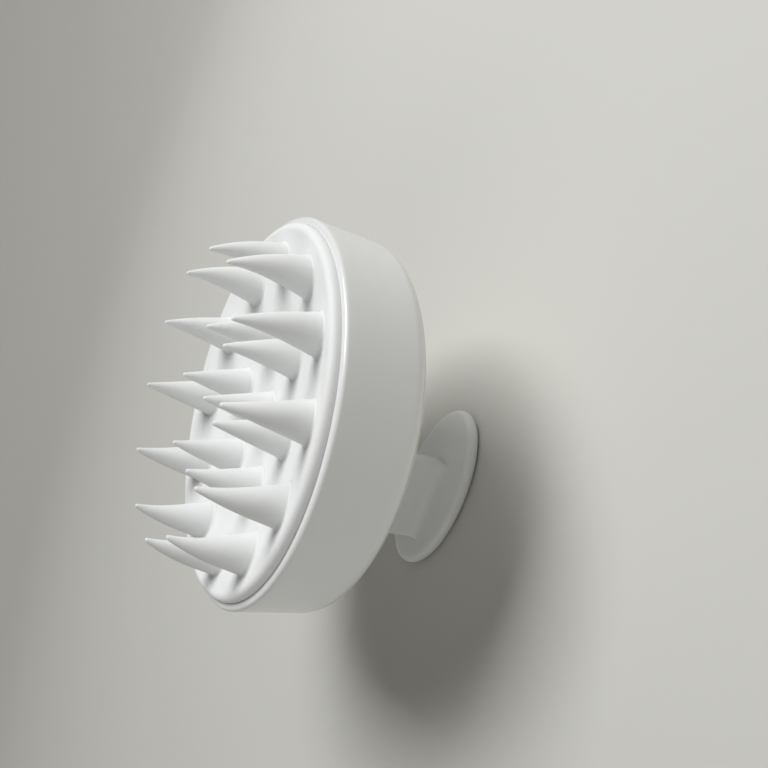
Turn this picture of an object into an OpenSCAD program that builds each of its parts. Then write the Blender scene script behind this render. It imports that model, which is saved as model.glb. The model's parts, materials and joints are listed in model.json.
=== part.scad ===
// Scalp massager brush: a round shell whose dished silicone face carries soft prongs, with an oval finger
// handle standing off-centre on the domed back.
// The brush is drawn about its own axis: Z = 0 is the plane of the shell's lip, the prongs point to +Z, the
// shell and the handle lie below, and the handle is off-centre towards -Y. standing() then stands the brush on
// the flat back of the handle's plate, with the prongs up and the box round the brush centred on the origin.

/* [Shell] */
// Outer diameter at the lip
shell_d = 82.4; // [76:0.1:96]
// Depth from the lip to the top of the dome
shell_depth = 28.8; // [27:0.1:34]
// Depth from the lip to the centre of the shoulder's arc
side_depth = 14.5; // [13:0.1:16]
// Draft of the side wall in degrees
side_draft = 2.6; // [0:0.1:4]
// Outer radius of the shoulder
shoulder_r = 4; // [3:0.1:6]
// Wall thickness of the side and the dome
shell_wall = 2; // [1.6:0.1:2.6]
// Thickness of the rounded lip
lip_t = 1.6; // [1.4:0.1:2.4]
// Radius of the lip's inner edge; its outer edge has half the lip's thickness
lip_inner_r = 0.3; // [0.2:0.1:0.6]
// Height and width of the inner ledge that carries the backing plate
ledge_t = 1.6; // [1.2:0.1:2.4]

/* [Soft pad] */
// Open groove between the pad and the lip
pad_groove = 0.15; // [0.1:0.05:0.6]
// Thickness of the pad's face
pad_t = 2; // [1.5:0.1:3]
// Radius of the hollow of the pad's face
dish_r = 140; // [110:1:300]
// Depth of the middle of the face below the lip
dish_low = 3.5; // [2.5:0.1:4]
// Radius of the pad's rounded edge
pad_edge_r = 1.6; // [1:0.1:3]
// Thickness of the pad's skirt
skirt_t = 1.2; // [1:0.1:1.4]
// Depth of the skirt's lower end below the lip
skirt_depth = 7.3; // [6.5:0.1:8.5]

/* [Prongs] */
// Prongs in the outer ring
outer_count = 12; // [8:2:14]
// Prongs in the inner ring
inner_count = 6; // [4:1:7]
// Distance from the pad's edge to the roots of the outer ring
edge_margin = 8.2; // [8:0.1:9.5]
// Radius of the inner ring at its roots
inner_ring_r = 16.2; // [15:0.1:17]
// Lean of the prongs towards the middle in degrees
prong_lean = 5; // [0:0.5:8]
// Diameter of a prong at its root
prong_d = 8.4; // [7:0.1:8.4]
// Diameter of a prong's rounded tip
tip_d = 1; // [0.8:0.1:2.5]
// Length of the middle prong above the pad
middle_length = 14.3; // [10:0.1:18]
// Radius of the hollow surface that the tips lie on
tip_curve_r = 94; // [70:1:200]
// Height of a prong's bending point above the pad
root_rise = 1; // [0.6:0.1:1.5]
// Clearance round a prong's root, so that it can bend
root_gap = 0.3; // [0.2:0.05:0.4]
// Wall of the plug that holds a prong's root behind the face
plug_wall = 0.7; // [0.6:0.05:0.7]

/* [Backing plate] */
// Thickness of the dished plate
plate_t = 2; // [1.5:0.1:2.5]
// Thickness of the plate's skirt
plate_skirt_t = 1.4; // [1.4:0.1:2]
// Radius of the circle of screws that hold the plate
plate_screw_ring_r = 22.5; // [21:0.1:24]

/* [Handle] */
// Length of the oval finger plate
handle_l = 39.6; // [34:0.1:46]
// Width of the oval finger plate
handle_w = 23.6; // [18:0.1:30]
// Thickness of the finger plate, fully rounded at its edge
handle_t = 3; // [2:0.1:4]
// Finger gap from the top of the dome to the middle of the plate
finger_gap = 20; // [16:0.1:26]
// Distance of the plate's middle from the brush axis
handle_offset = 10.5; // [6:0.1:14]
// Tilt of the plate in degrees, with its outer end nearer to the dome
handle_tilt = 4.3; // [0:0.1:8]
// Width of the web between the dome and the plate
web_w = 20.2; // [16:0.1:22]
// Thickness of the web
web_t = 4; // [3.4:0.1:6]
// Distance of the web's middle from the brush axis
web_offset = 13.6; // [12:0.1:15]
// Radius of the fillet between the web and the plate
web_fillet_r = 2.5; // [1:0.1:3.5]
// Thickness of the foot that spreads the web on the dome
foot_t = 1.6; // [1:0.1:2.5]
// Margin of the foot round the web
foot_margin = 2.5; // [1:0.1:3]
// Distance between the two screws in the web
web_screw_pitch = 11; // [9:0.1:12]

/* [Screws and fits] */
// Shank diameter of the screws
screw_d = 2.2; // [1.8:0.1:2.6]
// Head diameter of the screws
screw_head_d = 4; // [3.4:0.1:4.4]
// Head height of the screws
screw_head_h = 1.4; // [1.2:0.1:1.6]
// Length of a screw below its head
screw_l = 9; // [7:0.1:10]
// Wall round a screw in its boss
boss_wall = 1.8; // [1.4:0.1:2]
// Gap between pieces that rest on or in each other
fit_gap = 0.1; // [0.05:0.01:0.15]

/* [Hidden] */
$fn = 96;
// Facets of the large, shallow spheres
dish_fn = 256;
// Steps of an arc in a drawn outline
arc_steps = 12;
// Corners of the oval plate and layers of its rounded edge
oval_steps = 48;
oval_layers = 6;
// Overshoot of a cut past the face that it opens
cut = 1;

// Outline of the shell: lip, drafted side, shoulder and dome are tangent to each other
lip_r = lip_t / 2;
mouth_r = shell_d / 2 - lip_t;
shoulder_x = shell_d / 2 - (side_depth - lip_r) * tan(side_draft) - shoulder_r / cos(side_draft);
dome_drop = shell_depth - side_depth;
dome_r = (dome_drop ^ 2 + shoulder_x ^ 2 - shoulder_r ^ 2) / (2 * (dome_drop - shoulder_r));
dome_z = dome_r - shell_depth;
dome_angle = atan2(-side_depth - dome_z, shoulder_x);
dome_in_r = dome_r - shell_wall;

// Soft pad and backing plate: all their dished faces are spheres about one point
pad_r = mouth_r - pad_groove;
dish_z = dish_r - dish_low;
pad_under_r = dish_r + pad_t;
plate_over_r = pad_under_r + fit_gap;
plate_under_r = plate_over_r + plate_t;
plate_r = pad_r - skirt_t - fit_gap;
ledge_z = -skirt_depth - fit_gap;
ledge_r = plate_r - plate_skirt_t - ledge_t / 2;
function sphere_level(middle_z, r, at) = middle_z - sqrt(r ^ 2 - at ^ 2);
function face_level(at) = sphere_level(dish_z, dish_r, at);
function tip_level(at) = sphere_level(tip_curve_r + middle_length - dish_low, tip_curve_r, at);

// Prongs: [ring radius, angle from the handle's side]
outer_ring_r = pad_r - edge_margin;
root_r = prong_d / 2;
tip_r = tip_d / 2;
socket_r = root_r + root_gap;
plug_r = root_r + plug_wall;
plug_floor = plug_wall + root_gap;
function root_z(at) = face_level(at) + root_rise;
function plug_z(at) = root_z(at) - socket_r - plug_floor;
function tip_z(at) = tip_level(at) - tip_r;
function lean_at(at) = at > 0 ? prong_lean : 0;
function prong_length(at) = (tip_z(at) - root_z(at)) / cos(lean_at(at));
OUTER = [for (i = [0:outer_count - 1]) [outer_ring_r, (i + 0.5) * 360 / outer_count]];
INNER = [for (i = [0:inner_count - 1]) [inner_ring_r, (i + 0.5) * 360 / inner_count]];
MIDDLE = [0, 0];
PRONGS = concat(OUTER, INNER, [MIDDLE]);

// Handle: height of the middle of its plate
edge_r = handle_t / 2;
plate_z = -shell_depth - finger_gap - edge_r;

// Standing: the plate's back lies flat on the floor, and the lip and the shoulder reach furthest to the sides
function reach(r, z, side) = side * r * cos(handle_tilt) - z * sin(handle_tilt);
back_y = max(reach(mouth_r + lip_r, -lip_r, 1) + lip_r, reach(shoulder_x, -side_depth, 1) + shoulder_r);
front_y = reach(mouth_r + lip_r, -lip_r, -1) - lip_r;
stand_y = -(front_y + back_y) / 2;
stand_z = edge_r + handle_offset * sin(handle_tilt) - plate_z * cos(handle_tilt);

// Screws
screw_hole_r = screw_d / 2 + fit_gap / 2;
head_hole_r = screw_head_d / 2 + fit_gap;
boss_r = screw_d / 2 + boss_wall;
cup_r = head_hole_r + boss_wall / 2;
plate_screw_z = sphere_level(dish_z, plate_over_r, plate_screw_ring_r - head_hole_r) - screw_head_h - fit_gap;
cup_z = plate_screw_z - plate_t;
boss_z = cup_z - fit_gap;
PLATE_SCREWS = [60, 180, 300];
WEB_SCREWS = [for (side = [-1, 1]) web_offset + side * web_screw_pitch / 2];
function seat_z(at) = sphere_level(dome_z, dome_in_r, at + boss_r);

function arc(centre, r, from, to) =
    [for (i = [0:arc_steps]) centre + r * [cos(from + (to - from) * i / arc_steps),
                                           sin(from + (to - from) * i / arc_steps)]];
function two_digits(i) = str(i < 10 ? "0" : "", i);
function ring_names(prefix, count) = [for (i = [1:count]) str(prefix, two_digits(i))];

OUTER_NAMES = ring_names("prong_outer_", outer_count);
INNER_NAMES = ring_names("prong_inner_", inner_count);

// Stands the brush on the flat back of its handle's plate
module standing() {
    translate([0, stand_y, stand_z]) rotate([handle_tilt, 0, 0]) children();
}

// Puts a child at a place on a ring, with the angle counted from the handle's side
module on_ring(place) {
    rotate([0, 0, place[1]]) translate([0, -place[0], 0]) children();
}

// Ball about the centre of the dished faces
module dish_ball(r) {
    translate([0, 0, dish_z]) sphere(r, $fn = dish_fn);
}

// Solid inside the shell's outer surface, up to the top of the rounded lip
module shell_envelope() {
    rotate_extrude()
        polygon(concat(
            [[0, -lip_inner_r]],
            arc([mouth_r + lip_inner_r, -lip_inner_r], lip_inner_r, 180, 90),
            arc([mouth_r + lip_r, -lip_r], lip_r, 90, 0),
            arc([shoulder_x, -side_depth], shoulder_r, -side_draft, dome_angle),
            arc([0, dome_z], dome_r, dome_angle, -90)));
}

// Room inside the shell: mouth, ledge for the backing plate, side, shoulder and dome
module shell_room() {
    inner_side_r = shell_d / 2 - shell_wall + (ledge_z - ledge_t + lip_r) * tan(side_draft);
    rotate_extrude()
        polygon(concat(
            [[0, cut], [mouth_r, cut], [mouth_r, ledge_z], [ledge_r, ledge_z]],
            [[ledge_r, ledge_z - ledge_t], [inner_side_r, ledge_z - ledge_t]],
            arc([shoulder_x, -side_depth], shoulder_r - shell_wall, -side_draft, dome_angle),
            arc([0, dome_z], dome_in_r, dome_angle, -90)));
}

module shell() {
    color("white") standing()
        difference() {
            shell_envelope();
            difference() {
                shell_room();
                for (angle = PLATE_SCREWS)
                    on_ring([plate_screw_ring_r, angle])
                        translate([0, 0, -shell_depth]) cylinder(r = boss_r, h = shell_depth + boss_z);
                for (at = WEB_SCREWS)
                    translate([0, -at, -shell_depth]) cylinder(r = boss_r, h = shell_depth + seat_z(at));
            }
            for (angle = PLATE_SCREWS)
                on_ring([plate_screw_ring_r, angle])
                    translate([0, 0, plate_screw_z - screw_l - fit_gap]) cylinder(r = screw_hole_r, h = screw_l);
            for (at = WEB_SCREWS)
                translate([0, -at, -shell_depth - cut]) cylinder(r = screw_hole_r, h = shell_depth);
        }
}

// Oval plate with a fully rounded edge: rings of points from its lower face to its upper one, joined by triangles
module finger_plate() {
    rings = [for (i = [0:oval_layers], k = [0:oval_steps - 1])
        let (turn = -90 + 180 * i / oval_layers, angle = 360 * k / oval_steps, inset = edge_r * (1 - cos(turn)))
        [(handle_w / 2 - inset) * cos(angle), (handle_l / 2 - inset) * sin(angle), edge_r * sin(turn)]];
    edge = [for (i = [0:oval_layers - 1], k = [0:oval_steps - 1])
        let (low = i * oval_steps, high = low + oval_steps, next = (k + 1) % oval_steps)
        each [[low + k, high + k, high + next], [low + k, high + next, low + next]]];
    lower = [for (k = [0:oval_steps - 1]) k];
    upper = [for (k = [1:oval_steps]) (oval_layers + 1) * oval_steps - k];
    polyhedron(rings, concat([lower], edge, [upper]));
}

// Web with a fillet on each side where it meets the plate
module web() {
    half = web_t / 2;
    flare = half + web_fillet_r;
    difference() {
        intersection() {
            translate([0, -handle_offset, plate_z]) rotate([handle_tilt, 0, 180])
                rotate([90, 0, 0])
                    linear_extrude(height = 2 * handle_l, center = true)
                        polygon(concat(
                            [[-flare, 0], [flare, 0]],
                            arc([flare, edge_r + web_fillet_r], web_fillet_r, 270, 180),
                            [[half, 2 * finger_gap], [-half, 2 * finger_gap]],
                            arc([-flare, edge_r + web_fillet_r], web_fillet_r, 0, -90)));
            translate([-flare, -web_offset - web_w / 2, plate_z - handle_t]) cube([2 * flare, web_w, shell_depth * 2]);
        }
        translate([0, 0, dome_z]) sphere(dome_r + foot_t / 2, $fn = dish_fn);
    }
}

// Thin foot that follows the dome under the web
module foot() {
    intersection() {
        translate([0, -web_offset, plate_z]) linear_extrude(height = -plate_z)
            union() {
                square([web_t + 2 * foot_margin, web_w - web_t], center = true);
                for (side = [-1, 1])
                    translate([0, side * (web_w - web_t) / 2]) circle(web_t / 2 + foot_margin);
            }
        difference() {
            translate([0, 0, dome_z]) sphere(dome_r + fit_gap + foot_t, $fn = dish_fn);
            translate([0, 0, dome_z]) sphere(dome_r + fit_gap, $fn = dish_fn);
        }
    }
}

module handle() {
    color("whitesmoke") standing()
        difference() {
            union() {
                translate([0, -handle_offset, plate_z]) rotate([-handle_tilt, 0, 0]) finger_plate();
                web();
                foot();
            }
            for (at = WEB_SCREWS)
                translate([0, -at, seat_z(at) - screw_l - fit_gap]) cylinder(r = screw_hole_r, h = screw_l);
        }
}

// Pan-head screw: the underside of the head is at the origin and the shank points down
module screw() {
    cylinder(d = screw_head_d, h = screw_head_h);
    translate([0, 0, -screw_l]) cylinder(d = screw_d, h = screw_l + screw_head_h / 2);
}

module handle_screws() {
    color("silver") standing()
        for (at = WEB_SCREWS) translate([0, -at, seat_z(at)]) screw();
}

module plate_screws() {
    color("silver") standing()
        for (angle = PLATE_SCREWS)
            on_ring([plate_screw_ring_r, angle]) translate([0, 0, plate_screw_z]) screw();
}

// Dished plate with a skirt, a hole for each root plug and a cup for each screw head
module backing_plate() {
    color("gainsboro") standing()
        difference() {
            union() {
                intersection() {
                    translate([0, 0, -shell_depth]) cylinder(r = plate_r, h = 2 * shell_depth);
                    difference() {
                        dish_ball(plate_under_r);
                        dish_ball(plate_over_r);
                    }
                }
                difference() {
                    translate([0, 0, -skirt_depth]) cylinder(r = plate_r, h = skirt_depth + pad_edge_r);
                    translate([0, 0, -skirt_depth - cut])
                        cylinder(r = plate_r - plate_skirt_t, h = skirt_depth + pad_edge_r + 2 * cut);
                    dish_ball(plate_over_r);
                }
                difference() {
                    for (angle = PLATE_SCREWS)
                        on_ring([plate_screw_ring_r, angle])
                            translate([0, 0, cup_z]) cylinder(r = cup_r, h = shell_depth);
                    dish_ball(plate_over_r);
                }
            }
            for (place = PRONGS)
                on_ring(place)
                    translate([0, 0, plug_z(place[0]) - 2 * fit_gap])
                        cylinder(r = plug_r + 2 * fit_gap, h = shell_depth);
            for (angle = PLATE_SCREWS)
                on_ring([plate_screw_ring_r, angle]) {
                    translate([0, 0, plate_screw_z]) cylinder(r = head_hole_r, h = shell_depth);
                    translate([0, 0, cup_z - cut]) cylinder(r = screw_hole_r, h = shell_depth);
                }
        }
}

// Dished silicone face with a rounded edge, a skirt, and a plug with a socket for each prong's root
module soft_pad() {
    edge_level = face_level(pad_r - pad_edge_r);
    color("white") standing()
        difference() {
            union() {
                difference() {
                    rotate_extrude()
                        polygon(concat(
                            [[0, -skirt_depth], [pad_r, -skirt_depth]],
                            arc([pad_r - pad_edge_r, edge_level - pad_edge_r], pad_edge_r, 0, 90),
                            [[0, edge_level]]));
                    difference() {
                        translate([0, 0, -skirt_depth - cut])
                            cylinder(r = pad_r - skirt_t, h = skirt_depth + edge_level + 2 * cut);
                        dish_ball(pad_under_r);
                    }
                }
                for (place = PRONGS)
                    on_ring(place)
                        translate([0, 0, plug_z(place[0])]) cylinder(r = plug_r, h = socket_r + plug_floor);
            }
            dish_ball(dish_r);
            for (place = PRONGS)
                on_ring(place) translate([0, 0, root_z(place[0])]) sphere(socket_r);
        }
}

// Tapered prong between its root ball, which bends in the pad's socket, and its rounded tip
module prong(place) {
    length = prong_length(place[0]);
    taper = asin((root_r - tip_r) / length);
    color("white") standing()
        on_ring(place) translate([0, 0, root_z(place[0])]) rotate([-lean_at(place[0]), 0, 0])
            rotate_extrude()
                polygon(concat(
                    arc([0, 0], root_r, -90, taper),
                    arc([0, length], tip_r, taper, 90)));
}

shell();
handle();
handle_screws();
backing_plate();
plate_screws();
soft_pad();
for (i = [0:outer_count - 1])
    prong(OUTER[i]);
for (i = [0:inner_count - 1])
    prong(INNER[i]);
prong(MIDDLE);  // prong_middle
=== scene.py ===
# Scalp massager brush, standing on its handle plate with its prongs up.
# Each piece is worked out in millimetres about the brush's own axis,
# and then put where the solid model stands.
import json

import bpy
import numpy as np
from mathutils import Matrix


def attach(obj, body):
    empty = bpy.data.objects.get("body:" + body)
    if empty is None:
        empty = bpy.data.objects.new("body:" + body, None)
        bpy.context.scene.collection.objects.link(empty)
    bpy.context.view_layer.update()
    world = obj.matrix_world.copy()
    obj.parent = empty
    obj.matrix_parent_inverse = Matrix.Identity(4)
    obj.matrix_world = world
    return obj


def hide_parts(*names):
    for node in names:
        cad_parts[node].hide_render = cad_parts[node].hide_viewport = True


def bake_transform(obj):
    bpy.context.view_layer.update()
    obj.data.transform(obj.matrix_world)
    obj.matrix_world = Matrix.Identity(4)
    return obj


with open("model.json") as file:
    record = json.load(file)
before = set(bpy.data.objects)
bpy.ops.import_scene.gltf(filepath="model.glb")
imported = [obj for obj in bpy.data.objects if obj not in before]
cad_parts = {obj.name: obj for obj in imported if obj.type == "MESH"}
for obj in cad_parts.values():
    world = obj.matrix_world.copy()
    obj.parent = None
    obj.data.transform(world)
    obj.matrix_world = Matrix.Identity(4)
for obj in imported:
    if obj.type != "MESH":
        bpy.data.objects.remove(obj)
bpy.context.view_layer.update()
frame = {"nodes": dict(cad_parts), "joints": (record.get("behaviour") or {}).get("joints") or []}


# Shell: one deep round cap of glossy white plastic, injection moulded with a little draft.
# Its lip is rolled over to be kind to the skin, and a ledge inside carries the backing plate.
# Five bosses rise from its domed back for the screws.
SHELL_R = 41.2
SHELL_DEPTH = 28.8
SIDE_DEPTH = 14.5
SIDE_DRAFT = np.radians(2.6)
SHOULDER_R = 4.0
WALL = 2.0
LIP_R = 0.8
LIP_INNER_R = 0.2
MOUTH_R = SHELL_R - 2 * LIP_R
LEDGE_Z = -7.4
LEDGE_R = 35.95
LEDGE_T = 1.6
ROOT_RISE = 1.0
DISH_LOW = 3.5
DOME_POLE = -89.6
ROUND_STEPS = 160
MOUTH_NEAR = 0.2
MOUTH_TOP = -0.6

bend_at = {joint["child"]: np.array(joint["pos_m"]) for joint in frame["joints"]}
outer_names = sorted(name for name in bend_at if name.startswith("prong_outer"))
inner_names = sorted(name for name in bend_at if name.startswith("prong_inner"))
ring_middle = np.mean([bend_at[name] for name in outer_names], axis=0)
axis_z = ring_middle - bend_at["prong_middle"]
axis_z /= np.linalg.norm(axis_z)
axis_x = np.array([1.0, 0.0, 0.0])
axis_y = np.cross(axis_z, axis_x)
lip_centre = bend_at["prong_middle"] + 0.001 * (DISH_LOW - ROOT_RISE) * axis_z


def laid(points):
    """Brush millimetres to metres in the frame: the lip's centre plus x, y and z along the brush's axes."""
    return lip_centre + 0.001 * (points @ np.array([axis_x, axis_y, axis_z]))


def arc(middle, r, start, end, steps):
    """Points on a circle about middle, at even angles from start to end in degrees."""
    a = np.radians(np.linspace(start, end, steps))
    return np.stack([middle[0] + r * np.cos(a), middle[1] + r * np.sin(a)], -1)


def line(start, end, steps):
    """Points at even steps on the straight line from start to end, without the end."""
    t = np.linspace(0, 1, steps, endpoint=False)[:, None]
    return np.array(start) * (1 - t) + np.array(end) * t


def turned(profile, around):
    """Surface of revolution: a profile point (r, z) at angle a lies at (r cos a, r sin a, z)."""
    a = np.linspace(0, 2 * np.pi, around, endpoint=False)
    r, z = profile[:, :1], profile[:, 1:]
    return np.stack([r * np.cos(a), r * np.sin(a), z + 0 * a], -1)


def skin(name, grids, creases, material):
    """Closed mesh of one or more grids of rings: quads join each ring to the next, a fan of triangles
    closes each end on the mean of its ring, and the order of the corners follows the sign of the volume.
    creases holds, for each grid, how deep in a corner each ring lies, from 0 to 1; it is stored as the crease
    attribute, which the materials turn into painted shade."""
    corners, quads, fans, depth, first = [], [], [], [], 0
    for grid, crease in zip(grids, creases):
        rows, around = grid.shape[:2]
        points = np.concatenate([grid.reshape(-1, 3), grid[:1].mean(1), grid[-1:].mean(1)])
        here = np.arange(rows * around).reshape(rows, around)
        beside = np.roll(here, -1, 1)
        low, high = np.full(around, rows * around), np.full(around, rows * around + 1)
        quad = np.stack([here[:-1], beside[:-1], beside[1:], here[1:]], -1).reshape(-1, 4)
        first_fan = np.stack([low, beside[0], here[0]], -1)
        last_fan = np.stack([high, here[-1], beside[-1]], -1)
        fan = np.concatenate([first_fan, last_fan])
        tris = np.concatenate([quad[:, [0, 1, 2]], quad[:, [0, 2, 3]], fan])
        a, b, c = points[tris[:, 0]], points[tris[:, 1]], points[tris[:, 2]]
        if np.sum(a * np.cross(b, c)) < 0:
            quad, fan = quad[:, ::-1], fan[:, ::-1]
        corners.append(laid(points))
        quads.append(quad + first)
        fans.append(fan + first)
        depth.append(np.concatenate([np.repeat(crease, around), crease[:1], crease[-1:]]))
        first += len(points)
    mesh = bpy.data.meshes.new(name)
    faces = np.concatenate(quads).tolist() + np.concatenate(fans).tolist()
    mesh.from_pydata(np.concatenate(corners).tolist(), [], faces)
    mesh.polygons.foreach_set("use_smooth", np.ones(len(faces), bool))
    # The crease attribute carries the painted shade mask to the materials.
    attribute = mesh.attributes.new("crease", "FLOAT", "POINT")
    attribute.data.foreach_set("value", np.concatenate(depth).astype(np.float32))
    mesh.materials.append(material)
    piece = bpy.data.objects.new(name, mesh)
    bpy.context.scene.collection.objects.link(piece)
    return piece


def effect(name, inputs, outputs):
    """Empty shader group with named sockets; returns it with its input and output nodes."""
    group = bpy.data.node_groups.new(name, "ShaderNodeTree")
    for label, kind in inputs:
        group.interface.new_socket(label, in_out="INPUT", socket_type=kind)
    for label, kind in outputs:
        group.interface.new_socket(label, in_out="OUTPUT", socket_type=kind)
    return group, group.nodes.new("NodeGroupInput"), group.nodes.new("NodeGroupOutput")


# Moulded grain: fine noise is the height of the mould's polish marks, and broad noise moves the roughness.
moulded_grain, grain_in, grain_out = effect(
    "moulded grain",
    [("Place", "NodeSocketVector"), ("Fine", "NodeSocketFloat"), ("Broad", "NodeSocketFloat"),
     ("Smooth", "NodeSocketFloat"), ("Rough", "NodeSocketFloat")],
    [("Roughness", "NodeSocketFloat"), ("Height", "NodeSocketFloat")])
fine_noise = moulded_grain.nodes.new("ShaderNodeTexNoise")
fine_noise.inputs["Detail"].default_value = 3.0
broad_noise = moulded_grain.nodes.new("ShaderNodeTexNoise")
broad_noise.inputs["Detail"].default_value = 4.0
roughness_range = moulded_grain.nodes.new("ShaderNodeMapRange")
roughness_range.inputs["From Min"].default_value = 0.3
roughness_range.inputs["From Max"].default_value = 0.7
for target, source in (
        (fine_noise.inputs["Vector"], grain_in.outputs["Place"]),
        (fine_noise.inputs["Scale"], grain_in.outputs["Fine"]),
        (broad_noise.inputs["Vector"], grain_in.outputs["Place"]),
        (broad_noise.inputs["Scale"], grain_in.outputs["Broad"]),
        (roughness_range.inputs["Value"], broad_noise.outputs["Fac"]),
        (roughness_range.inputs["To Min"], grain_in.outputs["Smooth"]),
        (roughness_range.inputs["To Max"], grain_in.outputs["Rough"]),
        (grain_out.inputs["Roughness"], roughness_range.outputs["Result"]),
        (grain_out.inputs["Height"], fine_noise.outputs["Fac"])):
    moulded_grain.links.new(target, source)

# Tone and painted shade: the clean colour drifts a little over the surface, and in corners and creases it
# turns to a darker colour, which is painted shade.
# On a colour mix, input 0 is the factor, inputs 6 and 7 are the two colours, and output 2 is the result.
tone_and_painted_shade, tone_in, tone_out = effect(
    "tone and painted shade",
    [("Place", "NodeSocketVector"), ("Shade mask", "NodeSocketFloat"), ("Clean", "NodeSocketColor"),
     ("Drift", "NodeSocketColor"), ("Painted shade", "NodeSocketColor"), ("Scale", "NodeSocketFloat")],
    [("Color", "NodeSocketColor")])
cloud = tone_and_painted_shade.nodes.new("ShaderNodeTexNoise")
cloud.inputs["Detail"].default_value = 5.0
drift_mix = tone_and_painted_shade.nodes.new("ShaderNodeMix")
drift_mix.data_type = "RGBA"
speck = tone_and_painted_shade.nodes.new("ShaderNodeMath")
speck.operation = "MULTIPLY_ADD"
speck.inputs[1].default_value = 0.5
speck.inputs[2].default_value = 0.7
# How much painted shade a point gets: its crease depth times a little noise.
painted_shade_share = tone_and_painted_shade.nodes.new("ShaderNodeMath")
painted_shade_share.operation = "MULTIPLY"
painted_shade_share.use_clamp = True
painted_shade_mix = tone_and_painted_shade.nodes.new("ShaderNodeMix")
painted_shade_mix.data_type = "RGBA"
for target, source in (
        (cloud.inputs["Vector"], tone_in.outputs["Place"]),
        (cloud.inputs["Scale"], tone_in.outputs["Scale"]),
        (drift_mix.inputs[0], cloud.outputs["Fac"]),
        (drift_mix.inputs[6], tone_in.outputs["Clean"]),
        (drift_mix.inputs[7], tone_in.outputs["Drift"]),
        (speck.inputs[0], cloud.outputs["Fac"]),
        (painted_shade_share.inputs[0], speck.outputs["Value"]),
        (painted_shade_share.inputs[1], tone_in.outputs["Shade mask"]),
        (painted_shade_mix.inputs[0], painted_shade_share.outputs["Value"]),
        (painted_shade_mix.inputs[6], drift_mix.outputs[2]),
        (painted_shade_mix.inputs[7], tone_in.outputs["Painted shade"]),
        (tone_out.inputs["Color"], painted_shade_mix.outputs[2])):
    tone_and_painted_shade.links.new(target, source)


def finish_with(name, clean, drift, shade_colour, cloud_scale, fine, broad, smooth, rough, bump, depth):
    """Material whose colour drifts over the surface and darkens in corners to the given painted shade colour,
    and whose roughness and bump come from the moulded grain, both placed by the piece's own coordinates."""
    material = bpy.data.materials.new(name)
    material.use_nodes = True
    nodes, links = material.node_tree.nodes, material.node_tree.links
    shader = nodes["Principled BSDF"]
    where = nodes.new("ShaderNodeTexCoord")
    # The crease attribute sets how much painted shade each point gets.
    painted_shade_depth = nodes.new("ShaderNodeAttribute")
    painted_shade_depth.attribute_name = "crease"
    tone = nodes.new("ShaderNodeGroup")
    tone.node_tree = tone_and_painted_shade
    tone.inputs["Clean"].default_value = (*clean, 1.0)
    tone.inputs["Drift"].default_value = (*drift, 1.0)
    tone.inputs["Painted shade"].default_value = (*shade_colour, 1.0)
    tone.inputs["Scale"].default_value = cloud_scale
    grain = nodes.new("ShaderNodeGroup")
    grain.node_tree = moulded_grain
    grain.inputs["Fine"].default_value = fine
    grain.inputs["Broad"].default_value = broad
    grain.inputs["Smooth"].default_value = smooth
    grain.inputs["Rough"].default_value = rough
    relief = nodes.new("ShaderNodeBump")
    relief.inputs["Strength"].default_value = bump
    relief.inputs["Distance"].default_value = depth
    links.new(tone.inputs["Place"], where.outputs["Object"])
    links.new(tone.inputs["Shade mask"], painted_shade_depth.outputs["Fac"])
    links.new(grain.inputs["Place"], where.outputs["Object"])
    links.new(relief.inputs["Height"], grain.outputs["Height"])
    links.new(shader.inputs["Base Color"], tone.outputs["Color"])
    links.new(shader.inputs["Roughness"], grain.outputs["Roughness"])
    links.new(shader.inputs["Normal"], relief.outputs["Normal"])
    return material, shader


# The gloss plastic's last, darker colour is painted shade for corners.
gloss_white, gloss_shader = finish_with(
    "gloss white plastic", clean=(0.83, 0.84, 0.84), drift=(0.81, 0.815, 0.81), shade_colour=(0.62, 0.61, 0.58),
    cloud_scale=45.0, fine=350.0, broad=70.0, smooth=0.19, rough=0.26, bump=0.15, depth=0.0002)
gloss_shader.inputs["IOR"].default_value = 1.5
gloss_shader.inputs["Coat Weight"].default_value = 0.2
gloss_shader.inputs["Coat Roughness"].default_value = 0.1

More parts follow.
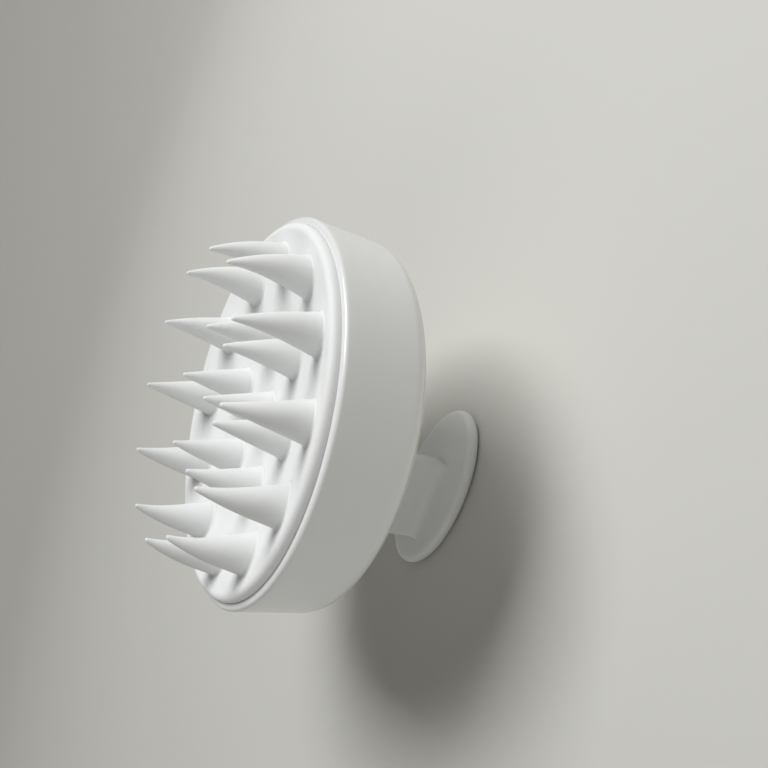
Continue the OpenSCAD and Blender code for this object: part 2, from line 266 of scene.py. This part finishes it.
shoulder_x = SHELL_R - (SIDE_DEPTH - LIP_R) * np.tan(SIDE_DRAFT) - SHOULDER_R / np.cos(SIDE_DRAFT)
dome_drop = SHELL_DEPTH - SIDE_DEPTH
DOME_R = (dome_drop ** 2 + shoulder_x ** 2 - SHOULDER_R ** 2) / (2 * (dome_drop - SHOULDER_R))
DOME_Z = DOME_R - SHELL_DEPTH
dome_start = np.degrees(np.arctan2(-SIDE_DEPTH - DOME_Z, shoulder_x))
shoulder_at = (shoulder_x, -SIDE_DEPTH)
draft_deg = -np.degrees(SIDE_DRAFT)
side_top = (SHELL_R, -LIP_R)
side_end = arc(shoulder_at, SHOULDER_R, draft_deg, draft_deg, 1)[0]
inner_side = arc(shoulder_at, SHOULDER_R - WALL, draft_deg, draft_deg, 1)[0]
shell_profile = np.concatenate([
    arc((0, DOME_Z), DOME_R, DOME_POLE, dome_start, 40),
    arc(shoulder_at, SHOULDER_R, dome_start, draft_deg, 14)[1:],
    line(side_end, side_top, 8)[1:],
    arc((MOUTH_R + LIP_R, -LIP_R), LIP_R, 0, 90, 11),
    arc((MOUTH_R + LIP_INNER_R, -LIP_INNER_R), LIP_INNER_R, 90, 180, 7),
    line((MOUTH_R, -LIP_INNER_R), (MOUTH_R, LEDGE_Z), 8)[1:],
    line((MOUTH_R, LEDGE_Z), (LEDGE_R, LEDGE_Z), 3),
    line((LEDGE_R, LEDGE_Z), (LEDGE_R, LEDGE_Z - LEDGE_T), 2),
    line((LEDGE_R, LEDGE_Z - LEDGE_T), (inner_side[0], LEDGE_Z - LEDGE_T), 3),
    line((inner_side[0], LEDGE_Z - LEDGE_T), inner_side, 3),
    arc(shoulder_at, SHOULDER_R - WALL, draft_deg, dome_start, 8),
    arc((0, DOME_Z), DOME_R - WALL, dome_start, DOME_POLE, 16)[1:]])
# Painted shade: the inner wall of the mouth, below the lip, takes the full darker corner colour.
mouth_rows = (abs(shell_profile[:, 0] - MOUTH_R) < MOUTH_NEAR) & (shell_profile[:, 1] < MOUTH_TOP)
shell_painted_shade = np.where(mouth_rows, 1.0, 0.0)
shell = skin("shell_moulding", [turned(shell_profile, ROUND_STEPS)], [shell_painted_shade], gloss_white)
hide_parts("shell")
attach(shell, "body")


# Screw bosses: round posts that stand on the inside of the dome as part of the shell's moulding.
# Three tall ones take the backing plate's screws, and two short seats carry the heads of the handle's screws.
BOSS_R = 2.9
BOSS_LEAD_R = 0.4
BOSS_STEPS = 32
PLATE_SCREW_RING_R = 22.5
PLATE_SCREW_ANGLES = (60.0, 180.0, 300.0)
PLATE_BOSS_TOP = -7.73
WEB_SCREWS = (8.1, 19.1)


def boss(x, y, top):
    """Post along the brush's axis: a circle carried from inside the dome's wall up to its top,
    where a quarter round leads in to the flat end."""
    foot = DOME_Z - np.sqrt(DOME_R ** 2 - x ** 2 - y ** 2) + 0.5 * WALL
    shank = line((BOSS_R, foot), (BOSS_R, top - BOSS_LEAD_R), 4)
    lead_in = arc((BOSS_R - BOSS_LEAD_R, top - BOSS_LEAD_R), BOSS_LEAD_R, 0, 90, 5)
    return turned(np.concatenate([shank, lead_in]), BOSS_STEPS) + np.array([x, y, 0.0])


boss_grids = []
for angle in np.radians(PLATE_SCREW_ANGLES):
    post_x = PLATE_SCREW_RING_R * np.sin(angle)
    post_y = -PLATE_SCREW_RING_R * np.cos(angle)
    boss_grids.append(boss(post_x, post_y, PLATE_BOSS_TOP))
for at in WEB_SCREWS:
    seat_top = DOME_Z - np.sqrt((DOME_R - WALL) ** 2 - (at + BOSS_R) ** 2)
    boss_grids.append(boss(0.0, -at, seat_top))
boss_creases = [np.zeros(len(grid)) for grid in boss_grids]
bosses = skin("shell_bosses", boss_grids, boss_creases, gloss_white)
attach(bosses, "body")


# Handle: one glossy, slightly milky moulding of a thin foot, a flat web and an oval finger plate.
# Its foot follows the dome, and two screws from inside the shell pull it down.
HANDLE_HALF_W = 11.8
HANDLE_HALF_L = 19.8
PLATE_EDGE_R = 1.5
FINGER_GAP = 20.0
HANDLE_OFFSET = 10.5
HANDLE_TILT = np.radians(4.3)
WEB_HALF_T = 2.0
WEB_HALF_W = 10.1
WEB_OFFSET = 13.6
WEB_CORNER_R = 1.2
WEB_FILLET_R = 2.5
FOOT_T = 1.7
FOOT_MARGIN = 2.5
FOOT_EDGE_R = 0.6
FOOT_FILLET_R = 1.2
FOOT_LIFT = 0.08
# How much painted shade the foot's edge on the dome gets.
FOOT_PAINTED_SHADE = 0.8
WEB_SINK = 0.4
WEB_SINK_OUT = 0.1
WEB_ROWS = 10
WEB_STEPS = 96
OVAL_STEPS = 128
EDGE_RINGS = 17
FACE_RINGS = 12
FACE_FIRST = 0.03
FACE_LAST = 0.97

# The milky plastic's last, darker colour is painted shade for corners.
milky_white, milky_shader = finish_with(
    "milky white plastic", clean=(0.82, 0.83, 0.83), drift=(0.80, 0.805, 0.8), shade_colour=(0.66, 0.65, 0.62),
    cloud_scale=45.0, fine=350.0, broad=80.0, smooth=0.29, rough=0.36, bump=0.15, depth=0.0002)
milky_shader.inputs["IOR"].default_value = 1.5
milky_shader.inputs["Coat Weight"].default_value = 0.15
milky_shader.inputs["Coat Roughness"].default_value = 0.12

plate_middle_z = -SHELL_DEPTH - FINGER_GAP - PLATE_EDGE_R
tilt_cos, tilt_sin = np.cos(HANDLE_TILT), np.sin(HANDLE_TILT)
oval = np.linspace(0, 2 * np.pi, OVAL_STEPS, endpoint=False)
edge_turn = np.linspace(np.pi / 2, -np.pi / 2, EDGE_RINGS)
face_share = np.concatenate([
    np.linspace(FACE_FIRST, FACE_LAST, FACE_RINGS),
    np.ones(EDGE_RINGS),
    np.linspace(FACE_LAST, FACE_FIRST, FACE_RINGS)])
flat = np.zeros(FACE_RINGS)
edge_reach = np.concatenate([flat, np.cos(edge_turn), flat]) * PLATE_EDGE_R
plate_rise = np.concatenate([flat + 1, np.sin(edge_turn), flat - 1]) * PLATE_EDGE_R
across = (face_share * (HANDLE_HALF_W - PLATE_EDGE_R) + edge_reach)[:, None] * np.cos(oval)
along = (face_share * (HANDLE_HALF_L - PLATE_EDGE_R) + edge_reach)[:, None] * np.sin(oval)
rise = plate_rise[:, None] + 0 * oval
finger_plate = np.stack([
    across,
    -HANDLE_OFFSET + along * tilt_cos + rise * tilt_sin,
    plate_middle_z - along * tilt_sin + rise * tilt_cos], -1)


def web_outline(margin_across, margin_along):
    """Rounded rectangle of the web, grown by one margin across its flat sides and one along past its
    ends: four corner arcs, stretched where the margins differ, joined by straight sides."""
    turn = np.linspace(0, 2 * np.pi, WEB_STEPS, endpoint=False) + np.pi / WEB_STEPS
    side_x = np.sign(np.cos(turn)) * (WEB_HALF_T - WEB_CORNER_R)
    side_y = np.sign(np.sin(turn)) * (WEB_HALF_W - WEB_CORNER_R)
    x = side_x + (WEB_CORNER_R + margin_across)[:, None] * np.cos(turn)
    y = side_y + (WEB_CORNER_R + margin_along)[:, None] * np.sin(turn) - WEB_OFFSET
    return x, y


# Rows from the dome to the plate: the margins round the web, the share of the way, the height from that end.
# The foot goes all round the web, but the fillet at the plate is only on the web's flat sides.
foot_edge = arc((FOOT_MARGIN - FOOT_EDGE_R, FOOT_T - FOOT_EDGE_R), FOOT_EDGE_R, 0, 90, 6)
foot_fillet = arc((FOOT_FILLET_R, FOOT_T + FOOT_FILLET_R), FOOT_FILLET_R, 270, 180, 9)
plate_fillet = arc((WEB_FILLET_R, WEB_FILLET_R), WEB_FILLET_R, 180, 270, 13)
lower = np.concatenate([[(FOOT_MARGIN, FOOT_LIFT)], foot_edge, foot_fillet])
upper = np.concatenate([plate_fillet, [(WEB_FILLET_R + WEB_SINK_OUT, -WEB_SINK)]])
margin_across = np.concatenate([lower[:, 0], np.zeros(WEB_ROWS), upper[:, 0]])
margin_along = np.concatenate([lower[:, 0], np.zeros(WEB_ROWS + len(upper))])
web_x, web_y = web_outline(margin_across, margin_along)
dome_level = DOME_Z - np.sqrt(DOME_R ** 2 - web_x ** 2 - web_y ** 2)
plate_level = plate_middle_z + (PLATE_EDGE_R - (web_y + HANDLE_OFFSET) * tilt_sin) / tilt_cos
at_dome = np.zeros(len(lower))
at_plate = np.ones(len(upper))
between = np.linspace(0, 1, WEB_ROWS + 2)[1:-1]
foot_top = np.full(WEB_ROWS, FOOT_T + FOOT_FILLET_R)
fillet_top = np.full(WEB_ROWS, WEB_FILLET_R)
from_dome = np.concatenate([lower[:, 1], foot_top, 0 * at_plate])[:, None]
from_plate = np.concatenate([at_dome, fillet_top, upper[:, 1]])[:, None]
share = np.concatenate([at_dome, between, at_plate])[:, None]
web_z = (1 - share) * (dome_level - from_dome) + share * (plate_level + from_plate)
web = np.stack([web_x, web_y, web_z], -1)
# Painted shade: the first ring of the web, the foot's edge where it sits on the dome, takes most of the
# darker corner colour.
web_painted_shade = np.zeros(len(web))
web_painted_shade[0] = FOOT_PAINTED_SHADE
handle_painted_shades = [np.zeros(len(finger_plate)), web_painted_shade]
handle = skin("handle_moulding", [finger_plate, web], handle_painted_shades, milky_white)
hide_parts("handle")
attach(handle, "body")


# Screws: small zinc-plated self-tapping screws with pan heads, driven into the bosses and the web's root.
# They stay out of sight inside the shell.
# The zinc's last, darker colour is painted shade for corners.
zinc, zinc_shader = finish_with(
    "zinc plate", clean=(0.62, 0.62, 0.63), drift=(0.55, 0.55, 0.57), shade_colour=(0.4, 0.39, 0.38),
    cloud_scale=400.0, fine=3000.0, broad=700.0, smooth=0.28, rough=0.42, bump=0.1, depth=0.0001)
zinc_shader.inputs["Metallic"].default_value = 1.0
for name in ("handle_screws", "plate_screws"):
    frame["nodes"][name].data.materials.clear()
    frame["nodes"][name].data.materials.append(zinc)


# Backing plate: a hidden, dished disc of matte white plastic behind the soft face.
# Each root plug of the face goes through one of its holes, and three screws hold it down on the ledge.
# The matte plastic's last, darker colour is painted shade for corners.
matte_white = finish_with(
    "matte white plastic", clean=(0.8, 0.8, 0.78), drift=(0.75, 0.75, 0.73), shade_colour=(0.6, 0.58, 0.54),
    cloud_scale=60.0, fine=1800.0, broad=120.0, smooth=0.5, rough=0.62, bump=0.12, depth=0.0002)[0]
frame["nodes"]["backing_plate"].data.materials.clear()
frame["nodes"]["backing_plate"].data.materials.append(matte_white)


# Soft pad: the dished face of white silicone, moulded in one with its prongs.
# Its rounded edge stands a little above the lip, and its skirt tucks down inside the shell's mouth.
PAD_R = 39.57
DISH_R = 140.0
DISH_Z = DISH_R - DISH_LOW
PAD_T = 2.0
PAD_EDGE_R = 1.35
PAD_CENTRE_R = 0.4
SKIRT_T = 1.2
SKIRT_Z = -7.3
SKIRT_TOP = -0.7
# Painted shade on the pad's side: where it starts below the lip, over what depth it darkens fully, and how
# near the outer radius it lies.
PAINTED_SHADE_TOP = -0.6
PAINTED_SHADE_DEPTH = 1.5
PAINTED_SHADE_WIDTH = 0.1

# The silicone's last, darker colour is painted shade for corners and prong roots.
silicone, silicone_shader = finish_with(
    "white silicone", clean=(0.85, 0.86, 0.86), drift=(0.83, 0.835, 0.83), shade_colour=(0.7, 0.69, 0.67),
    cloud_scale=60.0, fine=700.0, broad=120.0, smooth=0.5, rough=0.58, bump=0.15, depth=0.0002)
silicone_shader.inputs["IOR"].default_value = 1.42
silicone_shader.inputs["Sheen Weight"].default_value = 0.08
silicone_shader.inputs["Subsurface Weight"].default_value = 0.2
silicone_shader.inputs["Subsurface Radius"].default_value = (1.0, 0.95, 0.88)
silicone_shader.inputs["Subsurface Scale"].default_value = 0.0015


def face_level(r):
    """Height of the dished face at a distance r from the axis: the lower side of a ball of radius DISH_R."""
    return DISH_Z - np.sqrt(DISH_R ** 2 - r ** 2)


edge_x = PAD_R - PAD_EDGE_R
edge_z = DISH_Z - np.sqrt((DISH_R + PAD_EDGE_R) ** 2 - edge_x ** 2)
edge_start = np.degrees(np.arctan2(DISH_Z - edge_z, -edge_x))
dish_end = edge_x + PAD_EDGE_R * np.cos(np.radians(edge_start))
dish_rows = np.linspace(PAD_CENTRE_R, dish_end, 48, endpoint=False)
under_rows = np.linspace(PAD_R - SKIRT_T, PAD_CENTRE_R, 16)
under_level = DISH_Z - np.sqrt((DISH_R + PAD_T) ** 2 - under_rows ** 2)
pad_profile = np.concatenate([
    np.stack([dish_rows, face_level(dish_rows)], -1),
    arc((edge_x, edge_z), PAD_EDGE_R, edge_start, 0, 18),
    line((PAD_R, edge_z), (PAD_R, SKIRT_Z), 8)[1:],
    line((PAD_R, SKIRT_Z), (PAD_R - SKIRT_T, SKIRT_Z), 3),
    line((PAD_R - SKIRT_T, SKIRT_Z), (PAD_R - SKIRT_T, SKIRT_TOP), 5),
    np.stack([under_rows, under_level], -1)])
# Painted shade: the pad's outer side, from a little below the lip down into the mouth, darkens towards the
# corner colour.
below_edge = np.clip((PAINTED_SHADE_TOP - pad_profile[:, 1]) / PAINTED_SHADE_DEPTH, 0, 1)
pad_painted_shade = below_edge * (pad_profile[:, 0] > PAD_R - PAINTED_SHADE_WIDTH)
soft_pad = skin("pad_face", [turned(pad_profile, ROUND_STEPS)], [pad_painted_shade], silicone)
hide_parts("soft_pad")
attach(soft_pad, "body")


# Prongs: tapered silicone teeth that grow out of the face through a small fillet and hook in to the middle.
# Twelve stand in the outer ring, six in the inner ring and one in the middle, and each gives at its root.
PRONG_ROOT_R = 4.25
PRONG_TIP_R = 0.5
PRONG_FILLET_R = 0.75
MIDDLE_LENGTH = 14.3
TIP_CURVE_R = 94.0
PRONG_STEPS = 40
FOLLOW_H = 4.0
# Painted shade at each prong's root: how dark it turns, and over what height above the face it fades out.
ROOT_PAINTED_SHADE = 0.5
ROOT_PAINTED_SHADE_H = 1.2
# Rows under the fillet: how far out from its foot they lie, and how deep in the face.
SUNK_ROWS = ((0.25, 0.5), (0.1, 0.06))
# For each ring: the claw that hooks the tip in, the power of its curve, and the splay that leans it out.
HOOKS = {"outer": (0.174, 2.4, 0.08), "inner": (0.09, 2.0, 0.02), "middle": (0.0, 1.0, 0.0)}


def prong_shape(name, hook):
    """Tooth of revolution about a bent line. Its profile is a fillet that leaves the face, a straight taper
    that touches the fillet and the tip's circle, and the round tip. At a share t of its height the middle
    moves towards the brush's axis by the height times claw t to a power less a splay t, so that it first
    leans out and then hooks in, and near the root the rings follow the dished face."""
    at = (bend_at[name] - lip_centre) * 1000
    root_x, root_y = at @ axis_x, at @ axis_y
    root_r = np.hypot(root_x, root_y)
    tip_level = MIDDLE_LENGTH - DISH_LOW + TIP_CURVE_R - np.sqrt(TIP_CURVE_R ** 2 - root_r ** 2)
    height = tip_level - face_level(root_r)
    tip_at = height - PRONG_TIP_R
    taper = np.arccos(PRONG_TIP_R / np.hypot(PRONG_ROOT_R, tip_at)) - np.arctan2(tip_at, PRONG_ROOT_R)
    fillet_x = PRONG_ROOT_R + PRONG_FILLET_R * (1 - np.sin(taper)) / np.cos(taper)
    taper_deg = np.degrees(taper)
    fillet = arc((fillet_x, PRONG_FILLET_R), PRONG_FILLET_R, 270, 180 + taper_deg, 10)
    tip = arc((0, tip_at), PRONG_TIP_R, taper_deg, 88, 10)
    sunk = [(fillet_x + out, -deep) for out, deep in SUNK_ROWS]
    profile = np.concatenate([sunk, fillet, line(fillet[-1], tip[0], 22)[1:], tip])
    turn = np.linspace(0, 2 * np.pi, PRONG_STEPS, endpoint=False)
    t = np.clip(profile[:, 1:] / height, 0, 1)
    claw, power, splay = hook
    inward = -np.array([root_x, root_y]) / max(root_r, 1.0)
    shift = height * (claw * t ** power - splay * t)
    x = root_x + profile[:, :1] * np.cos(turn) + inward[0] * shift
    y = root_y + profile[:, :1] * np.sin(turn) + inward[1] * shift
    free = np.clip(profile[:, 1:] / FOLLOW_H, 0, 1)
    z = (1 - free) * face_level(np.hypot(x, y)) + free * face_level(root_r) + profile[:, 1:]
    # Painted shade: rings at and below the root take part of the darker corner colour, fading out up the
    # tooth.
    crease = np.clip(1 - np.maximum(profile[:, 1], 0) / ROOT_PAINTED_SHADE_H, 0, 1) ** 2 * ROOT_PAINTED_SHADE
    return np.stack([x, y, z], -1), crease, np.array([root_x, root_y, face_level(root_r)])


for name in [*outer_names, *inner_names, "prong_middle"]:
    surface, tooth_painted_shade, root = prong_shape(name, HOOKS[name.split("_")[1]])
    tooth = skin(name + "_tooth", [surface], [tooth_painted_shade], silicone)
    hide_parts(name)
    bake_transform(tooth)


# Floor: one sheet of pale board under the brush, which curves up into a round wall far behind it.
# It is plain and matte, so that it fills every view with an even tone.
FLOOR_R = 0.6
COVE_R = 0.5
WALL_H = 0.9
FLOOR_DROP = 0.0002
FLOOR_MIDDLE_R = 0.02
FLOOR_STEPS = 96
board_profile = np.concatenate([
    line((FLOOR_MIDDLE_R, -FLOOR_DROP), (FLOOR_R, -FLOOR_DROP), 12),
    arc((FLOOR_R, COVE_R - FLOOR_DROP), COVE_R, -90, 0, 24),
    [(FLOOR_R + COVE_R, WALL_H)]])
board_points = turned(board_profile, FLOOR_STEPS)
board_rows = np.arange(len(board_profile) * FLOOR_STEPS).reshape(-1, FLOOR_STEPS)
board_next = np.roll(board_rows, -1, 1)
board_quads = np.stack([board_rows[:-1], board_rows[1:], board_next[1:], board_next[:-1]], -1).reshape(-1, 4)
board_faces = [*board_quads.tolist(), board_rows[0].tolist()]
board_mesh = bpy.data.meshes.new("floor")
board_mesh.from_pydata(board_points.reshape(-1, 3).tolist(), [], board_faces)
board_mesh.polygons.foreach_set("use_smooth", np.ones(len(board_mesh.polygons), bool))
pale_board = bpy.data.materials.new("pale board")
pale_board.use_nodes = True
board_shader = pale_board.node_tree.nodes["Principled BSDF"]
board_shader.inputs["Base Color"].default_value = (0.62, 0.61, 0.575, 1.0)
board_shader.inputs["Roughness"].default_value = 0.7
board_mesh.materials.append(pale_board)
floor = bpy.data.objects.new("floor", board_mesh)
bpy.context.scene.collection.objects.link(floor)


# Light: a broad soft lamp high above the brush, a weak one low on the camera's side,
# and an even pale room over the wall.
def facing(place, aim, top):
    """Turn and place for a lamp or a camera: its back points from aim to place, and its top is as near
    to the given direction as that allows."""
    back = (place - aim) / np.linalg.norm(place - aim)
    right = np.cross(top, back)
    right = right / np.linalg.norm(right)
    stance = Matrix(np.column_stack([right, np.cross(back, right), back]).tolist()).to_4x4()
    stance.translation = place
    return stance


def soft_lamp(name, place, size, watts, colour):
    """Square area lamp whose face looks at the middle of the brush."""
    lamp = bpy.data.lights.new(name, "AREA")
    lamp.shape = "SQUARE"
    lamp.size = size
    lamp.energy = watts
    lamp.color = colour
    holder = bpy.data.objects.new(name, lamp)
    bpy.context.scene.collection.objects.link(holder)
    holder.matrix_world = facing(np.array(place), lip_centre, np.array([0.0, 0.0, 1.0]))


soft_lamp("key_lamp", place=(-0.12, 0.42, 0.8), size=0.5, watts=7.5, colour=(0.99, 1.0, 1.0))
soft_lamp("fill_lamp", place=(0.5, -0.5, 0.35), size=0.5, watts=0.5, colour=(0.98, 0.99, 1.0))
room = bpy.data.worlds.new("pale room")
room.use_nodes = True
room_light = room.node_tree.nodes["Background"]
room_light.inputs["Color"].default_value = (0.93, 0.94, 0.95, 1.0)
room_light.inputs["Strength"].default_value = 0.12
bpy.context.scene.world = room
bpy.context.scene.view_settings.view_transform = "Standard"


# Camera: about 17 cm from the brush, above its prongs and to one side,
# turned so that the handle is on the right.
CAMERA_AT = np.array([150.8, 43.4, 54.5])
CAMERA_AIM = np.array([0.0, 11.4, -27.8])
CAMERA_TOP = np.array([-0.307, 0.930, 0.201])
camera_data = bpy.data.cameras.new("camera")
camera_data.lens = 36.56
camera_data.sensor_width = 36.0
camera_data.clip_start = 0.01
camera = bpy.data.objects.new("camera", camera_data)
bpy.context.scene.collection.objects.link(camera)
camera.matrix_world = facing(laid(CAMERA_AT), laid(CAMERA_AIM), laid(CAMERA_TOP) - lip_centre)
bpy.context.scene.camera = camera
